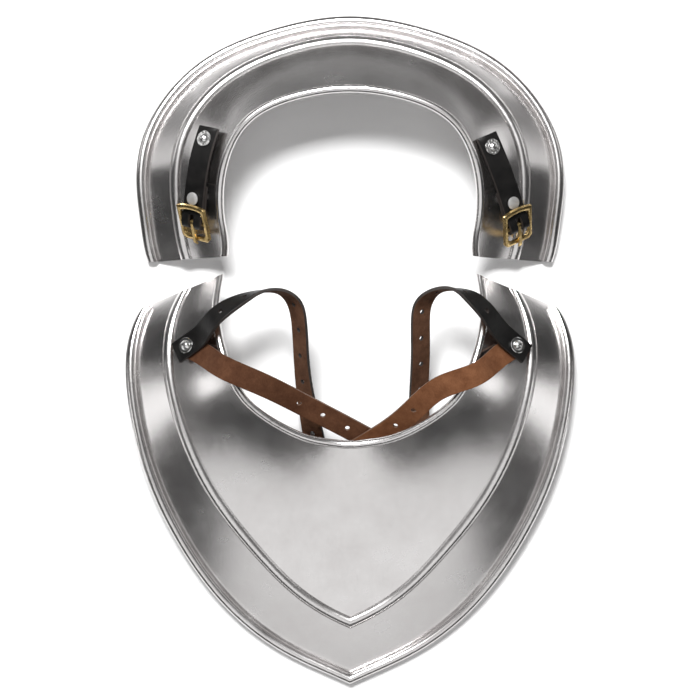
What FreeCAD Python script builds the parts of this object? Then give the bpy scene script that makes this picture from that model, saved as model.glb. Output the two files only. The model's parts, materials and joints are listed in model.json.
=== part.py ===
import FreeCAD, Part
import math
import os

# Steel gorget lying unbuckled on a table: back plate behind, front plate before it.
# Millimetres, +Z up. X = 0 is the plates' plane of symmetry, Z = 0 is the table,
# and the origin is the middle of the whole layout.

V = FreeCAD.Vector

# ---- sheet, rolled edges and raised ridge ----
SHEET = 1.2
RIM_ROLL_R = 3.7
NECK_ROLL_R = 2.9
RIDGE_WIDTH = 9.0
RIDGE_HEIGHT = 2.8
COLLAR_SAG = 2.0

# ---- back plate ----
BACK_HALF_WIDTH = 153.0
BACK_DEPTH = 177.0
BACK_NECK_HALF = 87.5
BACK_NECK_DEPTH = 115.0
BACK_HEIGHT = 66.0
BACK_RIM_LIFT = 9.0

# ---- front plate ----
FRONT_HALF_WIDTH = 160.0
FRONT_DEPTH = 270.0
FRONT_NECK_HALF = 90.0
FRONT_NECK_DEPTH = 117.0
CHEST_DEPTH = 177.0
FRONT_HEIGHT = 64.0
FRONT_RIM_LIFT = 10.0
PLATES_APART = 9.0

# ---- leather, rivets and buckles ----
LEATHER = 2.4
STRAP_WIDTH = 16.0
STRAP_HOLE_R = 1.75
STRAP_HOLE_PITCH = 20.0
GAP = 0.3
SEAT_GAP = 0.6
SHANK_R = 1.5
SHANK_FIT = 0.1
WASHER_R = 5.6
WASHER_THICK = 0.8
DOME_R = 3.7
DOME_HEIGHT = 2.6
TAIL_R = 3.0
TAIL_THICK = 1.0
CAP_R = 4.5
CAP_THICK = 0.9
CAP_TAIL_THICK = 0.6
CAP_SEAT = 0.8
UNDER_LAYER_LIFT = 1.3
UNDER_LAYER_REACH = 27.0
CAP_FROM_BAR = 17.5
STRAP_END = 10.0
LOWER_END = 6.0
BUCKLE_LENGTH = 29.0
BUCKLE_WIDTH = 24.0
BUCKLE_BAR = 3.2
BUCKLE_THICK = 2.4
BUCKLE_BOW = 1.6
BUCKLE_CORNER = 2.6
BUCKLE_EASE = 0.6
BUCKLE_CLEAR = 1.2
HINGE_BAR_R = 1.3
HINGE_GAP = 0.25
TONGUE_FIT = 0.12
TONGUE_WALL = 1.1
TONGUE_WIDTH = 2.4
TONGUE_THICK = 1.8
TONGUE_REACH = 2.2
BUCKLE_REST = 2.3
TONGUE_REST = 0.3
EDGE_CLEAR = 5.0
SLOT_WIDTH = 4.4
SLOT_LENGTH = 6.0

# Stations of each plate from one arm's end to the middle. Each has the rim's x and y as
# shares of the half width and depth, the neck edge's x and y as shares of the neck
# opening's, the ridge's place between them, and the shares of rim lift and neck height.
BACK_STATIONS = (
    (0.950, 0.000, 0.985, 0.030, 0.49, 0.0, 0.45),
    (0.983, 0.158, 1.000, 0.241, 0.46, 0.7, 0.67),
    (1.000, 0.327, 1.000, 0.455, 0.45, 1.0, 0.82),
    (0.963, 0.521, 0.928, 0.664, 0.43, 0.9, 0.92),
    (0.745, 0.785, 0.709, 0.867, 0.40, 0.5, 0.98),
    (0.396, 0.939, 0.343, 0.971, 0.35, 0.2, 1.0),
    (0.000, 1.000, 0.000, 1.000, 0.33, 0.0, 1.0),
)
FRONT_STATIONS = (
    (0.938, 1.000, 0.990, 1.000, 0.53, 0.0, 0.50),
    (0.973, 0.958, 1.014, 0.830, 0.48, 0.4, 0.67),
    (0.995, 0.905, 0.988, 0.640, 0.444, 0.75, 0.84),
    (1.000, 0.811, 0.890, 0.398, 0.41, 1.0, 0.98),
    (0.948, 0.626, 0.735, 0.220, 0.40, 1.0, 0.99),
    (0.806, 0.413, 0.480, 0.088, 0.367, 0.6, 0.93),
    (0.538, 0.192, 0.250, 0.021, 0.341, 0.2, 0.85),
    (0.290, 0.080, 0.120, 0.006, 0.290, 0.0, 0.81),
    (0.000, 0.000, 0.000, 0.000, 0.258, 0.0, 0.80),
)
# Rivets and buckles: a fractional station number and the share of the way from rim to neck.
BACK_RIVETS = {"left": (3.08, 0.71), "right": (2.93, 0.77)}
BUCKLES = {"left": (1.00, 0.72), "right": (0.95, 0.60)}
FRONT_RIVETS = {"left": (2.27, 0.66), "right": (2.27, 0.63)}
SIDES = {"left": -1, "right": 1}

# Free stretches of the front straps, after the neck edge that each crosses at a station.
# Each row has x, y and z as shares of the neck opening's half width, its depth and the
# front plate's height, then the way that the strap's outer face looks.
UPPER_CROSSING = {"left": 1.50, "right": 1.30}
UPPER_CROSSING_FACE = {"left": (-0.48, 0.48, 0.73), "right": (0.48, 0.48, 0.73)}
UPPER_ROUTE = {
    "left": (
        (-0.811, 0.850, 0.89, -0.28, 0.88, 0.37),
        (-0.655, 0.890, 0.865, 0.00, 1.00, 0.00),
        (-0.530, 0.885, 0.83, 0.38, 0.90, -0.20),
        (-0.440, 0.830, 0.77, 0.66, 0.50, -0.50),
        (-0.400, 0.730, 0.69, 0.75, 0.15, -0.63),
        (-0.385, 0.560, 0.54, 0.76, 0.02, -0.65),
        (-0.360, 0.320, 0.36, 0.70, 0.00, -0.71),
        (-0.300, 0.056, 0.19, 0.45, 0.00, -0.89),
        (-0.240, -0.239, 0.05, 0.00, 0.00, -1.00),
    ),
    "right": (
        (0.920, 0.860, 0.89, 0.25, 0.85, 0.45),
        (0.795, 0.901, 0.867, 0.00, 1.00, 0.00),
        (0.667, 0.890, 0.82, -0.45, 0.87, -0.25),
        (0.575, 0.825, 0.76, -0.62, 0.45, -0.64),
        (0.548, 0.700, 0.67, -0.60, 0.08, -0.79),
        (0.552, 0.500, 0.50, -0.58, 0.00, -0.81),
        (0.545, 0.296, 0.335, -0.55, 0.00, -0.83),
        (0.548, 0.090, 0.195, -0.35, 0.00, -0.94),
        (0.542, -0.239, 0.05, 0.00, 0.00, -1.00),
    ),
}
LOWER_CROSSING = {"left": 2.85, "right": 3.05}
LOWER_CROSSING_FACE = {"left": (-0.10, 0.00, 1.00), "right": (0.10, 0.00, 1.00)}
LOWER_ROUTE = {
    "left": (
        (-0.682, 0.338, 1.02, 0.00, -0.10, 0.99),
        (-0.421, 0.235, 0.77, 0.00, -0.30, 0.95),
        (-0.027, 0.075, 0.577, 0.00, -0.41, 0.91),
        (0.212, -0.026, 0.490, 0.00, -0.41, 0.91),
        (0.456, -0.128, 0.390, 0.00, -0.41, 0.91),
        (0.833, -0.291, 0.120, 0.00, -0.20, 0.98),
    ),
    "right": (
        (0.690, 0.315, 1.04, 0.00, -0.10, 0.99),
        (0.505, 0.195, 0.88, 0.00, -0.25, 0.97),
        (0.337, 0.080, 0.67, 0.00, -0.41, 0.91),
        (0.173, -0.005, 0.565, 0.00, -0.41, 0.91),
        (-0.039, -0.104, 0.480, 0.00, -0.41, 0.91),
        (-0.254, -0.206, 0.380, 0.00, -0.41, 0.91),
        (-0.578, -0.359, 0.130, 0.00, -0.20, 0.98),
    ),
}
UPPER_HOLES = 9
LOWER_HOLES = 6
FIRST_HOLE = {"left": 33.0, "right": 26.0}

# The front half runs past the middle before it is cut there, so the neck edge is smooth
# and the ridge and rim meet in a point.
PAST_MIDDLE = (-0.130, -0.037, -0.060, 0.002, 0.258, 0.0, 0.80)

FRONT_Y = -(CHEST_DEPTH + FRONT_NECK_DEPTH + PLATES_APART + BACK_DEPTH) / 2
BACK_Y = -FRONT_Y - BACK_DEPTH
NECK_Y = FRONT_Y + CHEST_DEPTH


def turned(point, angle, distance):
    return (point[0] + math.cos(angle) * distance, point[1] + math.sin(angle) * distance)


def roll_points(centre, radius, heading, side):
    """Five points round an edge rolled up on top of the sheet, from its foot to its crease."""
    closing = math.acos((radius - SHEET) / radius)
    sweep = (2 * math.pi - closing) * side
    start = heading - math.pi / 2
    return [turned(centre, start + sweep * k / 4, radius) for k in range(5)]


def plate_section(outer, neck, ridge_share, lift, height):
    """Closed wire of the sheet in the upright plane through a rim point and a neck point."""
    span = math.hypot(neck[0] - outer[0], neck[1] - outer[1])
    across = ((neck[0] - outer[0]) / span, (neck[1] - outer[1]) / span)
    rim_centre = (RIM_ROLL_R, lift + RIM_ROLL_R)
    neck_centre = (span - NECK_ROLL_R, height - NECK_ROLL_R)
    ridge = (span * ridge_share, lift + (height - 2 * NECK_ROLL_R - lift) * ridge_share)

    to_ridge = (ridge[0] - rim_centre[0], ridge[1] - rim_centre[1])
    border = math.atan2(to_ridge[1], to_ridge[0]) + math.asin(RIM_ROLL_R / math.hypot(*to_ridge))
    rim = roll_points(rim_centre, RIM_ROLL_R, border, -1)

    collar = math.atan2(neck_centre[1] - ridge[1], neck_centre[0] - ridge[0])
    for _ in range(4):
        foot = turned(neck_centre, collar - math.pi / 2, NECK_ROLL_R)
        chord = (foot[0] - ridge[0], foot[1] - ridge[1])
        along = math.atan2(chord[1], chord[0])
        bend = 2 * math.atan(2 * COLLAR_SAG / math.hypot(*chord))
        collar = along + bend
    neck_roll = roll_points(neck_centre, NECK_ROLL_R, collar, 1)

    rise = along - bend
    crown = (border + rise) / 2 + math.pi / 2
    half_under = RIDGE_WIDTH / 2 - 0.6 * SHEET
    outer_under = turned(ridge, border, -half_under)
    inner_under = turned(ridge, rise, half_under)
    outer_top = turned(turned(ridge, border, -RIDGE_WIDTH / 2), border + math.pi / 2, SHEET)
    inner_top = turned(turned(ridge, rise, RIDGE_WIDTH / 2), rise + math.pi / 2, SHEET)
    apex_under = turned(ridge, crown, RIDGE_HEIGHT)
    apex_top = turned(ridge, crown, RIDGE_HEIGHT + SHEET)

    def sagged(a, b):
        return turned(((a[0] + b[0]) / 2, (a[1] + b[1]) / 2), along - math.pi / 2, COLLAR_SAG)

    def at(p):
        return V(outer[0] + across[0] * p[0], outer[1] + across[1] * p[0], p[1])

    def arc(a, b, c):
        return Part.Arc(at(a), at(b), at(c)).toShape()

    def line(a, b):
        return Part.makeLine(at(a), at(b))

    return Part.Wire([
        arc(rim[0], rim[1], rim[2]),
        arc(rim[2], rim[3], rim[4]),
        line(rim[4], outer_top),
        arc(outer_top, apex_top, inner_top),
        arc(inner_top, sagged(inner_top, neck_roll[4]), neck_roll[4]),
        arc(neck_roll[4], neck_roll[3], neck_roll[2]),
        arc(neck_roll[2], neck_roll[1], neck_roll[0]),
        arc(neck_roll[0], sagged(neck_roll[0], inner_under), inner_under),
        arc(inner_under, apex_under, outer_under),
        line(outer_under, rim[0]),
    ])


def back_rim(row, side):
    return (side * row[0] * BACK_HALF_WIDTH, BACK_Y + row[1] * BACK_DEPTH)


def back_neck(row, side):
    return (side * row[2] * BACK_NECK_HALF, BACK_Y + row[3] * BACK_NECK_DEPTH)


def front_rim(row, side):
    return (side * row[0] * FRONT_HALF_WIDTH, FRONT_Y + row[1] * FRONT_DEPTH)


def front_neck(row, side):
    return (side * row[2] * FRONT_NECK_HALF, NECK_Y + row[3] * FRONT_NECK_DEPTH)


def make_back_plate():
    stations = [(row, -1) for row in BACK_STATIONS] + [(row, 1) for row in BACK_STATIONS[-2::-1]]
    wires = [
        plate_section(back_rim(row, side), back_neck(row, side), row[4],
                      row[5] * BACK_RIM_LIFT, row[6] * BACK_HEIGHT)
        for row, side in stations
    ]
    return Part.makeLoft(wires, True, False)


def make_front_plate():
    wires = [
        plate_section(front_rim(row, -1), front_neck(row, -1), row[4],
                      row[5] * FRONT_RIM_LIFT, row[6] * FRONT_HEIGHT)
        for row in FRONT_STATIONS + (PAST_MIDDLE,)
    ]
    long_half = Part.makeLoft(wires, True, False)
    room = 2 * FRONT_DEPTH
    half = long_half.cut(Part.makeBox(room, 2 * room, room, V(0, -room, -room / 2)))
    return half.fuse(half.mirror(V(0, 0, 0), V(1, 0, 0)))


def on_plate(stations, rim, neck, side, row, share):
    """Plan point at a fractional station number and a share of the way from rim to neck."""
    low = int(row)
    part = row - low
    ends = []
    for line in (stations[low], stations[low + 1]):
        a = rim(line, side)
        b = neck(line, side)
        ends.append((a[0] + (b[0] - a[0]) * share, a[1] + (b[1] - a[1]) * share))
    return tuple(p + (q - p) * part for p, q in zip(*ends))


def hit(plate, origin, direction):
    """Furthest crossing of the plate by the line through origin, or None if it misses."""
    reach = 120.0
    line = Part.makeLine(origin - direction * reach, origin + direction * reach)
    points = [v.Point for v in plate.common(line).Vertexes]
    return max(points, key=lambda p: p.dot(direction)) if points else None


def highest(plate, place, xs, ys):
    """Greatest height of the plate over a frame's XY plane at a grid of points, or 0."""
    up = place.Rotation.multVec(V(0, 0, 1))
    heights = [0.0]
    for x in xs:
        for y in ys:
            origin = place.multVec(V(x, y, 0))
            point = hit(plate, origin, up)
            if point:
                heights.append((point - origin).dot(up))
    return max(heights)


def seat(plate, plan):
    """Point on top of the plate above a plan point, and the surface's normal there."""
    up = V(0, 0, 1)
    step = 1.5
    here = hit(plate, V(plan[0], plan[1], 0), up)
    east = hit(plate, V(plan[0] + step, plan[1], 0), up) - here
    north = hit(plate, V(plan[0], plan[1] + step, 0), up) - here
    normal = east.cross(north)
    normal.normalize()
    return here, normal


def frame(origin, along, up):
    """Placement at origin with its X along one direction and its Z near another."""
    x = V(along)
    x.normalize()
    y = up.cross(x)
    y.normalize()
    z = x.cross(y)
    o = origin
    return FreeCAD.Placement(FreeCAD.Matrix(
        x.x, y.x, z.x, o.x, x.y, y.y, z.y, o.y, x.z, y.z, z.z, o.z, 0, 0, 0, 1))


def placed(shape, placement):
    return shape.transformed(placement.toMatrix())


def peg(radius, low, high, x=0.0):
    """Cylinder about a line parallel to Z through X = x."""
    return Part.makeCylinder(radius, high - low, V(x, 0, low))


class Route:
    """Middle line of a strap with the way that its outer face looks along it."""

    def __init__(self, points, faces):
        steps = [0.0]
        for a, b in zip(points, points[1:]):
            steps.append(steps[-1] + (b - a).Length)
        self.steps = steps
        self.line = Part.BSplineCurve()
        self.line.interpolate(Points=points, Parameters=steps)
        self.faces = faces

    def axes(self, step):
        tangent = self.line.tangent(step)[0]
        low = max(k for k in range(len(self.steps) - 1) if self.steps[k] <= step)
        part = (step - self.steps[low]) / (self.steps[low + 1] - self.steps[low])
        face = self.faces[low] * (1 - part) + self.faces[low + 1] * part
        face = face - tangent * face.dot(tangent)
        face.normalize()
        return self.line.value(step), tangent, face

    def corners(self, step):
        middle, tangent, face = self.axes(step)
        half = face.cross(tangent) * (STRAP_WIDTH / 2)
        skin = face * (LEATHER / 2)
        return [middle - half - skin, middle + half - skin, middle + half + skin, middle - half + skin]

    def strap(self):
        """Flat strap of even width and thickness: four ruled sides and two square ends."""
        rings = [self.corners(step) for step in self.steps]
        edges = []
        for k in range(4):
            curve = Part.BSplineCurve()
            curve.interpolate(Points=[ring[k] for ring in rings], Parameters=self.steps)
            edges.append(curve.toShape())
        sides = [Part.makeRuledSurface(edges[k], edges[(k + 1) % 4], 1) for k in range(4)]
        ends = [Part.Face(Part.makePolygon(ring + ring[:1])) for ring in (rings[0], rings[-1])]
        shell = Part.makeShell(sides + ends)
        shell.sewShape()
        solid = Part.Solid(shell)
        if solid.Volume < 0:
            solid.reverse()
        return solid

    def holes(self, count, first):
        """Punched holes, counted back from the first one's distance to the strap's free end."""
        whole = self.line.length()
        drills = []
        for k in range(count):
            step = self.line.parameterAtDistance(whole - first - k * STRAP_HOLE_PITCH, 0.0)
            middle, tangent, face = self.axes(step)
            drills.append(placed(peg(STRAP_HOLE_R, -LEATHER, LEATHER), frame(middle, tangent, face)))
        return drills


def front_route(plate, side, level, end, crossing, crossing_face, rows):
    """Route of a front strap from behind its rivet, over the neck edge and along its free
    rows, with the strap's frame at the rivet and the level of its underside there."""
    sign = SIDES[side]
    row, share = FRONT_RIVETS[side]
    base, up = seat(plate, on_plate(FRONT_STATIONS, front_rim, front_neck, sign, row, share))
    edge = on_plate(FRONT_STATIONS, front_rim, front_neck, sign, crossing[side], 0.94)
    tops = []
    for station in (crossing[side] - 0.3, crossing[side], crossing[side] + 0.3):
        inward = on_plate(FRONT_STATIONS, front_rim, front_neck, sign, station, 0.96)
        tops.append(hit(plate, V(inward[0], inward[1], 0), V(0, 0, 1)).z)
    over = V(edge[0], edge[1], max(tops) + EDGE_CLEAR + level)
    ahead = over - base
    ahead = ahead - up * ahead.dot(up)
    ahead.normalize()
    place = frame(base, ahead, up)
    level += highest(plate, place, (-end, 0, STRAP_END), (-STRAP_WIDTH / 2, 0, STRAP_WIDTH / 2))
    middle = base + up * (level + LEATHER / 2)
    points = [middle - ahead * end, middle, middle + ahead * STRAP_END, over]
    faces = [up, up, up, V(*crossing_face[side])]
    for x, y, z, nx, ny, nz in rows[side]:
        points.append(V(x * FRONT_NECK_HALF, NECK_Y + y * FRONT_NECK_DEPTH, z * FRONT_HEIGHT))
        faces.append(V(nx, ny, nz))
    return Route(points, faces), place, level


def rivet(grip_low, grip_high):
    """Domed rivet along Z: dome over a washer's top, shank, and a flat tail below."""
    sphere_r = (DOME_R ** 2 + DOME_HEIGHT ** 2) / (2 * DOME_HEIGHT)
    dome = Part.makeSphere(sphere_r, V(0, 0, grip_high + DOME_HEIGHT - sphere_r))
    dome = dome.common(peg(2 * sphere_r, grip_high, grip_high + 2 * sphere_r))
    shank = peg(SHANK_R, grip_low, grip_high)
    tail = peg(TAIL_R, grip_low - TAIL_THICK, grip_low)
    return dome.fuse([shank, tail]).removeSplitter()


def washer(low):
    """Flat ring round a rivet's shank, its outer edge eased on top."""
    top = low + WASHER_THICK
    ease = WASHER_THICK / 3
    disc = peg(WASHER_R, low, top)
    rim = [e for e in disc.Edges if e.BoundBox.ZMin > top - ease]
    disc = disc.makeChamfer(ease, rim)
    return disc.cut(peg(SHANK_R + SHANK_FIT, low, top))


class BackStrap:
    """Buckle strap on an arm of the back plate, in a frame along the strap.

    X runs from the rivet to the buckle's hinge bar and Z stands off the plate."""

    def __init__(self, plate, side):
        sign = SIDES[side]
        start, start_up = seat(plate, on_plate(BACK_STATIONS, back_rim, back_neck, sign, *BACK_RIVETS[side]))
        stop, stop_up = seat(plate, on_plate(BACK_STATIONS, back_rim, back_neck, sign, *BUCKLES[side]))
        self.place = frame(start, stop - start, start_up + stop_up)
        self.length = (stop - start).Length
        self.bulge = 0.0
        self.lift = 0.0
        self.stand = 0.0
        self.fit_over(plate)
        slope = math.degrees(math.atan((4 * self.bulge + self.lift) / self.length))
        self.rivet_place = self.place.multiply(
            FreeCAD.Placement(V(0, 0, 0), FreeCAD.Rotation(V(0, 1, 0), -slope)))

    def fit_over(self, plate):
        """Raise the buckle's end, arch the bed and raise the rivet's end to clear the plate."""
        edges = (-STRAP_WIDTH / 2, 0, STRAP_WIDTH / 2)
        under_buckle = (self.length, self.length + BUCKLE_LENGTH / 2)
        across = (-BUCKLE_WIDTH / 2, 0, BUCKLE_WIDTH / 2)
        self.lift = highest(plate, self.place, under_buckle, across) + BUCKLE_CLEAR
        for share in (0.25, 0.5, 0.75):
            high = highest(plate, self.place, (self.length * share,), edges) - self.lift * share
            self.bulge = max(self.bulge, high / (4 * share * (1 - share)))
        for x in (-STRAP_END, 0.0, STRAP_END):
            self.stand = max(self.stand, highest(plate, self.place, (x,), edges) - self.bed(x))

    def bed(self, x):
        share = x / self.length
        return 4 * self.bulge * share * (1 - share) + self.lift * share

    def bar_height(self):
        return self.bed(self.length) + UNDER_LAYER_LIFT + LEATHER + HINGE_GAP + HINGE_BAR_R

    def side_profile(self):
        """Middle line of the strap: the upper layer from the rivet, the fold round the
        hinge bar, and the layer under it."""
        length = self.length
        on_bed = self.stand + SEAT_GAP + LEATHER / 2
        under = UNDER_LAYER_LIFT + LEATHER / 2
        upper = under + LEATHER + GAP
        fold = HINGE_BAR_R + HINGE_GAP + LEATHER / 2
        bar = self.bar_height()
        rows = [(-STRAP_END, on_bed), (0.0, on_bed), (STRAP_END, on_bed)]
        rows += [(length - UNDER_LAYER_REACH - LEATHER, upper), (length - CAP_FROM_BAR, upper)]
        profile = [(x, self.bed(x) + h) for x, h in rows]
        rising = length - 3 * fold
        profile.append((rising, (self.bed(rising) + upper + bar + fold) / 2))
        profile += [turned((length, bar), math.pi / 2 - math.pi * k / 4, fold) for k in range(5)]
        for x in (rising, length - CAP_FROM_BAR, length - UNDER_LAYER_REACH):
            profile.append((x, self.bed(x) + under))
        return profile

    def leather(self):
        """The side profile given its thickness and width."""
        line = Part.BSplineCurve()
        points = [V(x, 0, h) for x, h in self.side_profile()]
        line.interpolate(points)
        sweep = Part.BRepOffsetAPI.MakePipeShell(Part.Wire(line.toShape()))
        sweep.setBiNormalMode(V(0, 1, 0))
        tangent = line.tangent(line.FirstParameter)[0]
        skin = tangent.cross(V(0, 1, 0)) * (LEATHER / 2)
        half = V(0, STRAP_WIDTH / 2, 0)
        start = points[0]
        corners = [start - half - skin, start + half - skin, start + half + skin, start - half + skin]
        sweep.add(Part.makePolygon(corners + corners[:1]))
        sweep.build()
        sweep.makeSolid()
        return sweep.shape()

    def strap(self):
        length = self.length
        bar = self.bar_height()
        slot = Part.makeBox(SLOT_LENGTH * 2, SLOT_WIDTH, 4 * LEATHER + 2 * HINGE_BAR_R + 2,
                            V(length - SLOT_LENGTH, -SLOT_WIDTH / 2, bar - 2 * LEATHER - HINGE_BAR_R - 1))
        cap_hole = peg(SHANK_R + SHANK_FIT, -LEATHER, 6 * LEATHER, length - CAP_FROM_BAR)
        rivet_hole = peg(SHANK_R + SHANK_FIT, -LEATHER, self.stand + 2 * LEATHER)
        cuts = [placed(slot, self.place), placed(cap_hole, self.place), placed(rivet_hole, self.rivet_place)]
        return placed(self.leather(), self.place).cut(cuts)

    def flat_rivet(self):
        """Flat cap that holds the folded strap's two layers together."""
        x = self.length - CAP_FROM_BAR
        low = self.bed(x) + UNDER_LAYER_LIFT - CAP_SEAT
        high = self.bed(x) + UNDER_LAYER_LIFT + 2 * LEATHER + GAP + CAP_SEAT
        cap = peg(CAP_R, high, high + CAP_THICK, x)
        shank = peg(SHANK_R, low, high, x)
        tail = peg(TAIL_R, low - CAP_TAIL_THICK, low, x)
        return placed(cap.fuse([shank, tail]).removeSplitter(), self.place)

    def buckle_place(self):
        """Frame at the hinge bar, tipped so that the buckle's upper end lies on the strap."""
        rest = BUCKLE_LENGTH / 2 - BUCKLE_BAR / 2
        leather_top = self.bed(self.length - rest) + UNDER_LAYER_LIFT + 2 * LEATHER + 2 * GAP
        rise = leather_top + BUCKLE_REST + BUCKLE_THICK / 2 - self.bar_height()
        tip = FreeCAD.Placement(V(self.length, 0, self.bar_height()),
                                FreeCAD.Rotation(V(0, 1, 0), math.degrees(math.atan2(rise, rest))))
        return self.place.multiply(tip)


def buckle_outline(inset):
    """Outline of the buckle with a bowed upper bar and cut corners below, drawn in by inset."""
    upper = -BUCKLE_LENGTH / 2 + inset
    lower = BUCKLE_LENGTH / 2 - inset
    half = BUCKLE_WIDTH / 2 - inset
    cut = BUCKLE_CORNER
    shoulder = upper + BUCKLE_BOW
    bow = Part.Arc(V(shoulder, -half, 0), V(upper, 0, 0), V(shoulder, half, 0)).toShape()
    corners = [V(shoulder, half, 0), V(lower - cut, half, 0), V(lower, half - cut, 0),
               V(lower, cut - half, 0), V(lower - cut, -half, 0), V(shoulder, -half, 0)]
    sides = [Part.makeLine(a, b) for a, b in zip(corners, corners[1:])]
    return Part.Face(Part.Wire([bow] + sides))


def make_buckle():
    """Centre-bar buckle lying along X, its hinge bar on the Y axis."""
    ring = buckle_outline(0).cut(buckle_outline(BUCKLE_BAR))
    ring.translate(V(0, 0, -BUCKLE_THICK / 2))
    ring = ring.extrude(V(0, 0, BUCKLE_THICK))
    crest = [e for e in ring.Edges if e.BoundBox.ZMin > BUCKLE_THICK / 2 - 0.01]
    ring = ring.makeChamfer(BUCKLE_EASE, crest)
    reach = BUCKLE_WIDTH / 2 - BUCKLE_BAR / 2
    bar = Part.makeCylinder(HINGE_BAR_R, 2 * reach, V(0, -reach, 0), V(0, 1, 0))
    return ring.fuse(bar).removeSplitter()


def make_tongue():
    """Tongue on the hinge bar, lying over the buckle's lower bar."""
    eye = HINGE_BAR_R + TONGUE_FIT
    ring_r = eye + TONGUE_WALL
    rest = BUCKLE_THICK / 2 + TONGUE_REST
    bar_in = BUCKLE_LENGTH / 2 - BUCKLE_BAR
    tip = BUCKLE_LENGTH / 2 + TONGUE_REACH
    top = rest + TONGUE_THICK
    side = [V(0, 0, ring_r - TONGUE_THICK), V(bar_in, 0, rest), V(tip - TONGUE_THICK, 0, rest),
            V(tip, 0, rest - TONGUE_THICK / 2), V(tip, 0, rest + TONGUE_THICK / 3),
            V(tip - TONGUE_THICK, 0, top), V(bar_in, 0, top), V(0, 0, ring_r)]
    blade = Part.Face(Part.makePolygon(side + side[:1])).extrude(V(0, TONGUE_WIDTH, 0))
    blade.translate(V(0, -TONGUE_WIDTH / 2, 0))
    ring = Part.makeCylinder(ring_r, TONGUE_WIDTH, V(0, -TONGUE_WIDTH / 2, 0), V(0, 1, 0))
    hole = Part.makeCylinder(eye, 2 * TONGUE_WIDTH, V(0, -TONGUE_WIDTH, 0), V(0, 1, 0))
    return ring.fuse(blade).cut(hole).removeSplitter()


def drilled(plate, places):
    room = RIM_ROLL_R + SHEET
    return plate.cut([placed(peg(SHANK_R + SHANK_FIT, -room, room), place) for place in places])


def make_back_parts():
    plate = make_back_plate()
    nodes = {}
    places = []
    for side in SIDES:
        strap = BackStrap(plate, side)
        places.append(strap.rivet_place)
        stack = strap.stand + SEAT_GAP + LEATHER + GAP
        nodes[side + "_buckle_strap"] = strap.strap()
        nodes[side + "_back_washer"] = placed(washer(stack), strap.rivet_place)
        back_rivet = rivet(-SHEET - 2 * GAP, stack + WASHER_THICK + GAP / 2)
        nodes[side + "_back_rivet"] = placed(back_rivet, strap.rivet_place)
        nodes[side + "_flat_rivet"] = strap.flat_rivet()
        nodes[side + "_buckle"] = placed(make_buckle(), strap.buckle_place())
        nodes[side + "_tongue"] = placed(make_tongue(), strap.buckle_place())
    nodes["back_plate"] = drilled(plate, places)
    return nodes


def make_front_parts():
    plate = make_front_plate()
    nodes = {}
    places = []
    for side in SIDES:
        lower, place, level = front_route(
            plate, side, SEAT_GAP, LOWER_END, LOWER_CROSSING, LOWER_CROSSING_FACE, LOWER_ROUTE)
        upper, _, level = front_route(
            plate, side, level + LEATHER + GAP, STRAP_END, UPPER_CROSSING, UPPER_CROSSING_FACE, UPPER_ROUTE)
        places.append(place)
        stack = level + LEATHER + GAP
        hole = placed(peg(SHANK_R + SHANK_FIT, -SHEET, 2 * stack), place)
        nodes[side + "_lower_strap"] = lower.strap().cut([hole] + lower.holes(LOWER_HOLES, FIRST_HOLE[side]))
        nodes[side + "_upper_strap"] = upper.strap().cut([hole] + upper.holes(UPPER_HOLES, FIRST_HOLE[side]))
        nodes[side + "_front_washer"] = placed(washer(stack), place)
        nodes[side + "_front_rivet"] = placed(rivet(-SHEET - 2 * GAP, stack + WASHER_THICK + GAP / 2), place)
    nodes["front_plate"] = drilled(plate, places)
    return nodes


def main():
    os.makedirs("parts", exist_ok=True)
    nodes = make_back_parts()
    nodes.update(make_front_parts())
    for name, shape in nodes.items():
        shape.exportStep("parts/%s.step" % name)


if __name__ == "__main__":
    main()
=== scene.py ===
import json
import math

import bmesh
import bpy
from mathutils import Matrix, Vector

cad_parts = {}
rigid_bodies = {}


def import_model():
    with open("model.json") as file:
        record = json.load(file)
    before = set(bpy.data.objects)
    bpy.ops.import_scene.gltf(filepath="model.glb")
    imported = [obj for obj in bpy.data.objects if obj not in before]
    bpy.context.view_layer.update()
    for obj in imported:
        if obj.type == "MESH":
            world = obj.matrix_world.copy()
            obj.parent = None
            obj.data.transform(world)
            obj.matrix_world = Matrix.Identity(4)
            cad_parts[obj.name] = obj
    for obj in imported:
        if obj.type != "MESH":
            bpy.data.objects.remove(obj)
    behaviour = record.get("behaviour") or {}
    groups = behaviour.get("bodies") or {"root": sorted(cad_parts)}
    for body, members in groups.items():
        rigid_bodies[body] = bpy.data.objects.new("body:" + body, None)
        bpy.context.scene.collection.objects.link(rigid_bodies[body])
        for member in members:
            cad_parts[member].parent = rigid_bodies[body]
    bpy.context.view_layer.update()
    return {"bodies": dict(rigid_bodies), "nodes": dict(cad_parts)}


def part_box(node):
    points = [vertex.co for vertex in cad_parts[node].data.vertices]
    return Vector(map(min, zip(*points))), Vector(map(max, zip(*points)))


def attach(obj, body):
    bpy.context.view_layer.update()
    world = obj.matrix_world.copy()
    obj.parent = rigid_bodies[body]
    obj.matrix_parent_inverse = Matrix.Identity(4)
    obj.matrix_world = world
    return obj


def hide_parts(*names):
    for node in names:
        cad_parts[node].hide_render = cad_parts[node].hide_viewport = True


# Steel gorget lying unbuckled on a pale table, seen from straight above. Metres, +Z up.

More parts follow.
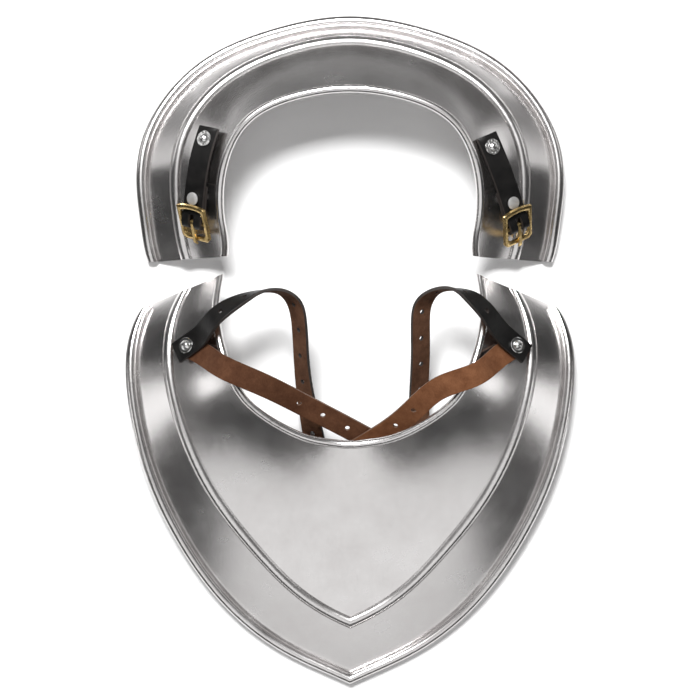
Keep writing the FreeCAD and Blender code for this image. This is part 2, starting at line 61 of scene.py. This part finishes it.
SHARP = math.radians(32)          # a crease sharper than this stays an edge
SAME_SIDE = math.radians(25)      # faces that meet flatter than this are one side of a strap
EASED = math.radians(50)          # a metal edge sharper than this is eased
OUTER_SIDES = 6                   # a strap's two wide sides, two long edges and two ends
LEATHER_EASE = 0.00035            # width of the eased edges of leather
METAL_EASE = 0.00018              # and of metal
EASE_STEPS = 2
WELD = 0.000002                   # corners nearer than this are one corner
SLIVER = 0.00001                  # edges shorter than this are dropped
NEAR_RIVET = 0.012                # reach round a rivet in which a strap's upward side is told
NAP_PAINTED_SHADE = 0.62                  # how much darker the painted shade between the fibres of the nap is
CAMERA_HEIGHT = 1.6
CAMERA_FIELD = 0.504              # width of table that the camera sees
SENSOR = 36.0                     # millimetres, as Blender's cameras take it
TABLE_SIDE = 6.0
MAT_HEIGHT = 0.003                # how high the mats lie over the table
SKY = 0.11                        # strength of the even light from all round

# Sockets of Blender's colour mix node, which have no names of their own to be found by.
MIX_FACTOR = 0
MIX_FIRST = 6
MIX_SECOND = 7
MIX_RESULT = 2

# A strap's materials, in the order of its mesh's slots.
GRAIN_SLOT = 0
FLESH_SLOT = 1
CUT_SLOT = 2

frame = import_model()


# ---- node materials ----

class Surface:
    """A material with its shader, a place to read coordinates and short ways to add nodes."""

    def __init__(self, name, **sockets):
        self.material = bpy.data.materials.new(name)
        self.material.use_nodes = True
        self.tree = self.material.node_tree
        self.shader = self.tree.nodes["Principled BSDF"]
        for socket, value in sockets.items():
            self.shader.inputs[socket.replace("_", " ")].default_value = value
        self.place = self.tree.nodes.new("ShaderNodeTexCoord").outputs["Object"]

    def link(self, source, target):
        self.tree.links.new(source, target)

    def node(self, kind, **settings):
        """A new node of this kind with these settings."""
        made = self.tree.nodes.new(kind)
        for key, value in settings.items():
            setattr(made, key, value)
        return made

    def stretched(self, scale, turn=0.0):
        """Object coordinates scaled along each axis and turned about the vertical."""
        mapping = self.node("ShaderNodeMapping")
        mapping.inputs["Scale"].default_value = scale
        mapping.inputs["Rotation"].default_value = (0, 0, turn)
        self.link(self.place, mapping.inputs["Vector"])
        return mapping.outputs["Vector"]

    def noise(self, scale, detail=4.0, rough=0.55, vector=None):
        """Cloudy noise from 0 to 1."""
        made = self.node("ShaderNodeTexNoise")
        made.inputs["Scale"].default_value = scale
        made.inputs["Detail"].default_value = detail
        made.inputs["Roughness"].default_value = rough
        self.link(vector or self.place, made.inputs["Vector"])
        return made.outputs["Fac"]

    def cells(self, scale):
        """Distance to the middle of the nearest of many cells."""
        made = self.node("ShaderNodeTexVoronoi")
        made.inputs["Scale"].default_value = scale
        self.link(self.place, made.inputs["Vector"])
        return made.outputs["Distance"]

    def ramp(self, value, stops):
        """A colour ramp from value: stops are (position, colour) pairs."""
        made = self.node("ShaderNodeValToRGB")
        marks = made.color_ramp.elements
        while len(marks) < len(stops):
            marks.new(0.5)
        for mark, (position, colour) in zip(marks, stops):
            mark.position = position
            mark.color = (*colour, 1)
        self.link(value, made.inputs["Fac"])
        return made.outputs["Color"]

    def mixed(self, factor, first, second):
        """A painted first colour that turns into a plain second one with the factor."""
        made = self.node("ShaderNodeMix", data_type="RGBA")
        self.link(factor, made.inputs[MIX_FACTOR])
        self.link(first, made.inputs[MIX_FIRST])
        made.inputs[MIX_SECOND].default_value = (*second, 1)
        return made.outputs[MIX_RESULT]

    def span(self, value, low, high):
        """value from 0 to 1 stretched to run from low to high."""
        made = self.node("ShaderNodeMapRange")
        made.inputs["To Min"].default_value = low
        made.inputs["To Max"].default_value = high
        self.link(value, made.inputs["Value"])
        return made.outputs["Result"]

    def bumps(self, *layers):
        """Stack bump layers of (height, strength, distance) into the shader's normal."""
        below = None
        for height, strength, distance in layers:
            made = self.node("ShaderNodeBump")
            made.inputs["Strength"].default_value = strength
            made.inputs["Distance"].default_value = distance
            self.link(height, made.inputs["Height"])
            if below:
                self.link(below, made.inputs["Normal"])
            below = made.outputs["Normal"]
        self.link(below, self.shader.inputs["Normal"])

    def paint(self, colour=None, roughness=None):
        """The finished material, with its colour and roughness linked where they vary."""
        if colour:
            self.link(colour, self.shader.inputs["Base Color"])
        if roughness:
            self.link(roughness, self.shader.inputs["Roughness"])
        return self.material


def make_steel():
    """Satin steel with fine brush marks, a few longer scratches and a faint wave from forming."""
    surface = Surface("steel", Metallic=1.0, Roughness=0.26)
    brushed = surface.noise(1.0, 3.0, 0.6, surface.stretched((60, 1900, 300), 0.5))
    crossed = surface.noise(1.0, 2.0, 0.6, surface.stretched((1500, 70, 300), 0.9))
    mottle = surface.noise(38.0, 5.0, 0.6)
    wave = surface.noise(16.0, 1.0, 0.4)
    tint = surface.ramp(mottle, [(0.30, (0.66, 0.64, 0.635)), (0.70, (0.77, 0.755, 0.75))])
    scuffed = surface.ramp(crossed, [(0.62, (0, 0, 0)), (0.80, (1, 1, 1))])
    colour = surface.mixed(surface.span(scuffed, 0.0, 0.25), tint, (0.46, 0.45, 0.44))
    surface.bumps((wave, 0.10, 0.0030), (brushed, 0.05, 0.0002), (crossed, 0.03, 0.0002))
    return surface.paint(colour, surface.span(mottle, 0.19, 0.32))


def make_rivet_steel():
    """Bright rivet steel with the flat facets left by a hammer."""
    surface = Surface("rivet_steel", Metallic=1.0, Roughness=0.2, Base_Color=(0.78, 0.78, 0.77, 1))
    dents = surface.cells(520.0)
    surface.bumps((dents, 0.35, 0.0006))
    return surface.paint(None, surface.span(surface.noise(300.0), 0.14, 0.30))


def make_flat_steel():
    """Duller steel of the flat rivets, evenly scuffed."""
    surface = Surface("flat_rivet_steel", Metallic=1.0, Roughness=0.5, Base_Color=(0.80, 0.79, 0.78, 1))
    surface.bumps((surface.noise(700.0, 3.0), 0.15, 0.0002))
    return surface.paint(None, surface.span(surface.noise(260.0), 0.46, 0.60))


def make_brass():
    """Cast brass, brighter and duller in patches of tarnish."""
    surface = Surface("brass", Metallic=1.0, Roughness=0.28)
    tarnish = surface.noise(210.0, 5.0, 0.65)
    colour = surface.ramp(tarnish, [(0.25, (0.55, 0.37, 0.14)), (0.62, (0.80, 0.59, 0.27))])
    surface.bumps((surface.noise(900.0, 3.0), 0.12, 0.0002))
    return surface.paint(colour, surface.span(tarnish, 0.34, 0.20))


def make_grain():
    """Black dyed leather: fine pebbled grain with shallow creases."""
    surface = Surface("leather_black", Roughness=0.42)
    surface.shader.inputs["Specular IOR Level"].default_value = 0.28
    pebbles = surface.cells(1500.0)
    creases = surface.noise(1.0, 5.0, 0.6, surface.stretched((240, 90, 240), 0.3))
    wear = surface.noise(120.0, 4.0, 0.6)
    colour = surface.ramp(wear, [(0.40, (0.0028, 0.0026, 0.0026)), (0.85, (0.0095, 0.0085, 0.008))])
    surface.bumps((creases, 0.25, 0.0006), (pebbles, 0.30, 0.0002))
    return surface.paint(colour, surface.span(wear, 0.34, 0.52))


def make_flesh(name, dark, light):
    """Brown flesh side of leather: a short mottled nap, with painted shade between its fibres."""
    surface = Surface(name, Roughness=0.88)
    surface.shader.inputs["Specular IOR Level"].default_value = 0.10
    blotch = surface.noise(95.0, 6.0, 0.68)
    nap = surface.noise(1.0, 4.0, 0.7, surface.stretched((1500, 700, 900), 0.4))
    base = surface.ramp(blotch, [(0.32, dark), (0.68, light)])
    # painted shade: the colour is darkened between the fibres of the nap, along the stretched nap noise
    painted_nap_shade = tuple(c * NAP_PAINTED_SHADE for c in dark)
    colour = surface.mixed(surface.span(nap, -0.25, 0.75), base, painted_nap_shade)
    surface.bumps((blotch, 0.25, 0.0008), (nap, 0.55, 0.0004))
    return surface.paint(colour)


def make_cut(name, dark, light):
    """Cut edge of the leather, darker and smoother than the flesh side."""
    surface = Surface(name, Roughness=0.7)
    layers = surface.noise(1.0, 4.0, 0.6, surface.stretched((220, 220, 1600)))
    colour = surface.ramp(layers, [(0.30, dark), (0.75, light)])
    surface.bumps((layers, 0.3, 0.0003))
    return surface.paint(colour)


def make_table():
    """Plain pale table top."""
    surface = Surface("table", Roughness=0.55, Base_Color=(0.93, 0.93, 0.93, 1))
    surface.bumps((surface.noise(900.0), 0.02, 0.0002))
    return surface.paint(None, surface.span(surface.noise(9.0), 0.52, 0.60))


STEEL = make_steel()
RIVET_STEEL = make_rivet_steel()
FLAT_STEEL = make_flat_steel()
BRASS = make_brass()
GRAIN = make_grain()
BROWN_CUT = make_cut("edge_brown", (0.060, 0.030, 0.018), (0.150, 0.080, 0.048))
BLACK_CUT = make_cut("edge_black", (0.010, 0.007, 0.006), (0.030, 0.021, 0.017))
FLESH_DARK = make_flesh("flesh_dark", (0.060, 0.024, 0.012), (0.118, 0.052, 0.027))
FLESH_LIGHT = make_flesh("flesh_light", (0.110, 0.042, 0.018), (0.205, 0.088, 0.042))
FLESH_MID = make_flesh("flesh_mid", (0.072, 0.033, 0.018), (0.145, 0.072, 0.042))
FLESH_BLACK = make_flesh("flesh_black", (0.012, 0.008, 0.006), (0.030, 0.020, 0.014))


# ---- pieces that stand for the CAD nodes, with their edges eased ----

def welded(node):
    """The node's mesh with its CAD faces joined along their edges."""
    form = bmesh.new()
    form.from_mesh(frame["nodes"][node].data)
    bmesh.ops.remove_doubles(form, verts=form.verts, dist=WELD)
    bmesh.ops.dissolve_degenerate(form, dist=SLIVER, edges=form.edges)
    return form


def sides_of(form):
    """Groups of faces that meet without a sharp edge, largest in area first."""
    form.faces.ensure_lookup_table()
    group = [None] * len(form.faces)
    areas = []
    for seed in form.faces:
        if group[seed.index] is not None:
            continue
        group[seed.index] = len(areas)
        area = 0.0
        ahead = [seed]
        while ahead:
            face = ahead.pop()
            area += face.calc_area()
            for edge in face.edges:
                if len(edge.link_faces) != 2 or edge.calc_face_angle(math.pi) > SAME_SIDE:
                    continue
                for other in edge.link_faces:
                    if group[other.index] is None:
                        group[other.index] = group[seed.index]
                        ahead.append(other)
        areas.append(area)
    order = sorted(range(len(areas)), key=lambda k: -areas[k])
    return [[f for f in form.faces if group[f.index] == k] for k in order]


def mark_outer_edges(form, sides):
    """Weight the edges between a strap's six outer sides, so that they are eased and its holes aren't."""
    weight = form.edges.layers.float.new("bevel_weight_edge")
    side_of = {face: k for k, faces in enumerate(sides[:OUTER_SIDES]) for face in faces}
    for edge in form.edges:
        met = {side_of.get(face) for face in edge.link_faces}
        edge[weight] = 1.0 if len(met) == 2 and None not in met else 0.0


def finished(form, node, materials, ease, limit):
    """The form as a smooth piece that rides with the node's body and stands for the node."""
    mesh = bpy.data.meshes.new(node + "_look")
    form.to_mesh(mesh)
    form.free()
    for material in materials:
        mesh.materials.append(material)
    piece = bpy.data.objects.new(node + "_look", mesh)
    bpy.context.scene.collection.objects.link(piece)
    mesh.shade_smooth()
    mesh.set_sharp_from_angle(angle=SHARP)
    bevel = piece.modifiers.new("ease", "BEVEL")
    bevel.width = ease
    bevel.segments = EASE_STEPS
    bevel.limit_method = limit
    bevel.angle_limit = EASED
    bevel.harden_normals = True
    bevel.use_clamp_overlap = True
    body = node if node in frame["bodies"] else "root"
    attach(piece, body)
    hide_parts(node)


def strap_piece(node, grain, flesh, cut, grain_up):
    """A strap with its grain on one wide side, its flesh on the other and cut edges.

    grain_up says that the wide side that looks most upward at the rivet is the grain."""
    form = welded(node)
    form.normal_update()
    sides = sides_of(form)
    wide = sides[:2]
    rivet = node.split("_")[0] + ("_back_rivet" if "buckle" in node else "_front_rivet")
    low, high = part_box(rivet)
    centre = (low + high) / 2

    def upward(faces):
        near = [f for f in faces if (f.calc_center_median() - centre).length < NEAR_RIVET]
        return sum(f.normal.z * f.calc_area() for f in near)

    wide.sort(key=upward, reverse=True)
    for faces in sides:
        for face in faces:
            face.material_index = CUT_SLOT
    for face in wide[0]:
        face.material_index = GRAIN_SLOT if grain_up else FLESH_SLOT
    for face in wide[1]:
        face.material_index = FLESH_SLOT if grain_up else GRAIN_SLOT
    mark_outer_edges(form, sides)
    finished(form, node, (grain, flesh, cut), LEATHER_EASE, "WEIGHT")


def metal_piece(node, material):
    """A metal piece of one material with all its sharp edges eased."""
    finished(welded(node), node, (material,), METAL_EASE, "ANGLE")


def dress_plates():
    """The two plates show their own mesh, whose normals follow the sheet exactly."""
    for node in ("back_plate", "front_plate"):
        mesh = frame["nodes"][node].data
        mesh.materials.clear()
        mesh.materials.append(STEEL)


def dress_side(side):
    """The rivets, washers, buckle, tongue and straps of one side."""
    for part in ("back_rivet", "back_washer", "front_rivet", "front_washer"):
        metal_piece(side + "_" + part, RIVET_STEEL)
    metal_piece(side + "_flat_rivet", FLAT_STEEL)
    for part in ("buckle", "tongue"):
        metal_piece(side + "_" + part, BRASS)
    strap_piece(side + "_buckle_strap", GRAIN, FLESH_BLACK, BLACK_CUT, True)
    strap_piece(side + "_upper_strap", GRAIN, FLESH_MID, BLACK_CUT, True)
    flesh = FLESH_DARK if side == "left" else FLESH_LIGHT
    strap_piece(side + "_lower_strap", GRAIN, flesh, BROWN_CUT, False)


# ---- table, lights and camera ----

def panel(name, size, place, target, energy):
    """Soft rectangular light that looks at a target."""
    light = bpy.data.lights.new(name, "AREA")
    light.shape = "RECTANGLE"
    light.size, light.size_y = size
    light.energy = energy
    lamp = bpy.data.objects.new(name, light)
    lamp.location = place
    lamp.rotation_euler = (Vector(target) - Vector(place)).to_track_quat("-Z", "Y").to_euler()
    bpy.context.scene.collection.objects.link(lamp)


def card(name, size, place, target, shade):
    """Matt card that the steel mirrors and that looks at a target. The camera doesn't see it."""
    bpy.ops.mesh.primitive_plane_add(size=1, location=place)
    made = bpy.context.object
    made.name = name
    made.scale = (size[0], size[1], 1)
    made.rotation_euler = (Vector(target) - Vector(place)).to_track_quat("-Z", "Y").to_euler()
    matt = Surface(name, Roughness=0.9, Base_Color=(shade, shade, shade, 1))
    made.data.materials.append(matt.material)
    made.visible_camera = False
    made.visible_shadow = False
    made.visible_diffuse = False


def table_card(name, middle, size, shade):
    """Card lying flat just over the table, for the steep sides of the steel to mirror."""
    card(name, size, place=(*middle, MAT_HEIGHT), target=(*middle, 0), shade=shade)


def make_studio():
    """The table, the even light from all round, the lights and the cards."""
    bpy.ops.mesh.primitive_plane_add(size=TABLE_SIDE, location=(0, 0, 0))
    table = bpy.context.object
    table.name = "table"
    table.data.materials.append(make_table())

    world = bpy.data.worlds.new("studio")
    world.use_nodes = True
    sky = world.node_tree.nodes["Background"]
    sky.inputs["Color"].default_value = (1.0, 0.975, 0.965, 1)
    sky.inputs["Strength"].default_value = SKY
    bpy.context.scene.world = world
    bpy.context.scene.view_settings.view_transform = "Standard"

    place_lights()
    place_cards()


def place_lights():
    """A key light behind, a wide soft box before the object and small boxes low at each side."""
    panel("key", size=(0.7, 0.5), place=(-0.2, 0.95, 1.55), target=(0, 0.05, 0), energy=50)
    panel("overhead", size=(1.2, 1.2), place=(0, 0.1, 2.2), target=(0, 0, 0), energy=2.5)
    panel("front_box", size=(2.2, 1.1), place=(0, -0.95, 1.5), target=(0, 0, 0), energy=6.8)
    for sign in (-1, 1):
        panel("side_box", size=(0.7, 0.6), place=(sign * 1.3, 0.50, 0.45), target=(0, 0.1, 0), energy=1.3)
        panel("low_box", size=(0.30, 0.34), place=(sign * 1.08, -0.22, 0.42),
              target=(sign * 0.1, -0.03, 0.06), energy=0.55)


def place_cards():
    """Dark mats behind and beside the plates, and cards that give the arms and wings dark bands."""
    table_card("back_mat", middle=(0, 0.583), size=(0.9, 0.68), shade=0.08)
    for sign in (-1, 1):
        table_card("side_mat", middle=(sign * 0.435, 0.22), size=(0.54, 0.56), shade=0.16)
        card("side_card", size=(0.15, 0.15), place=(sign * 0.235, 0.08, 0.078),
             target=(sign * 0.145, 0.10, 0.03), shade=0.01)
        card("corner_card", size=(0.8, 0.45), place=(sign * 0.70, -0.86, 0.48),
             target=(0, 0, 0.05), shade=0.02)


def make_camera():
    """A camera straight above the object that sees CAMERA_FIELD of the table."""
    data = bpy.data.cameras.new("camera")
    data.sensor_width = SENSOR
    data.lens = SENSOR * CAMERA_HEIGHT / CAMERA_FIELD
    camera = bpy.data.objects.new("camera", data)
    camera.location = (0, 0, CAMERA_HEIGHT)
    bpy.context.scene.collection.objects.link(camera)
    bpy.context.scene.camera = camera


dress_plates()
for side in ("left", "right"):
    dress_side(side)
make_studio()
make_camera()
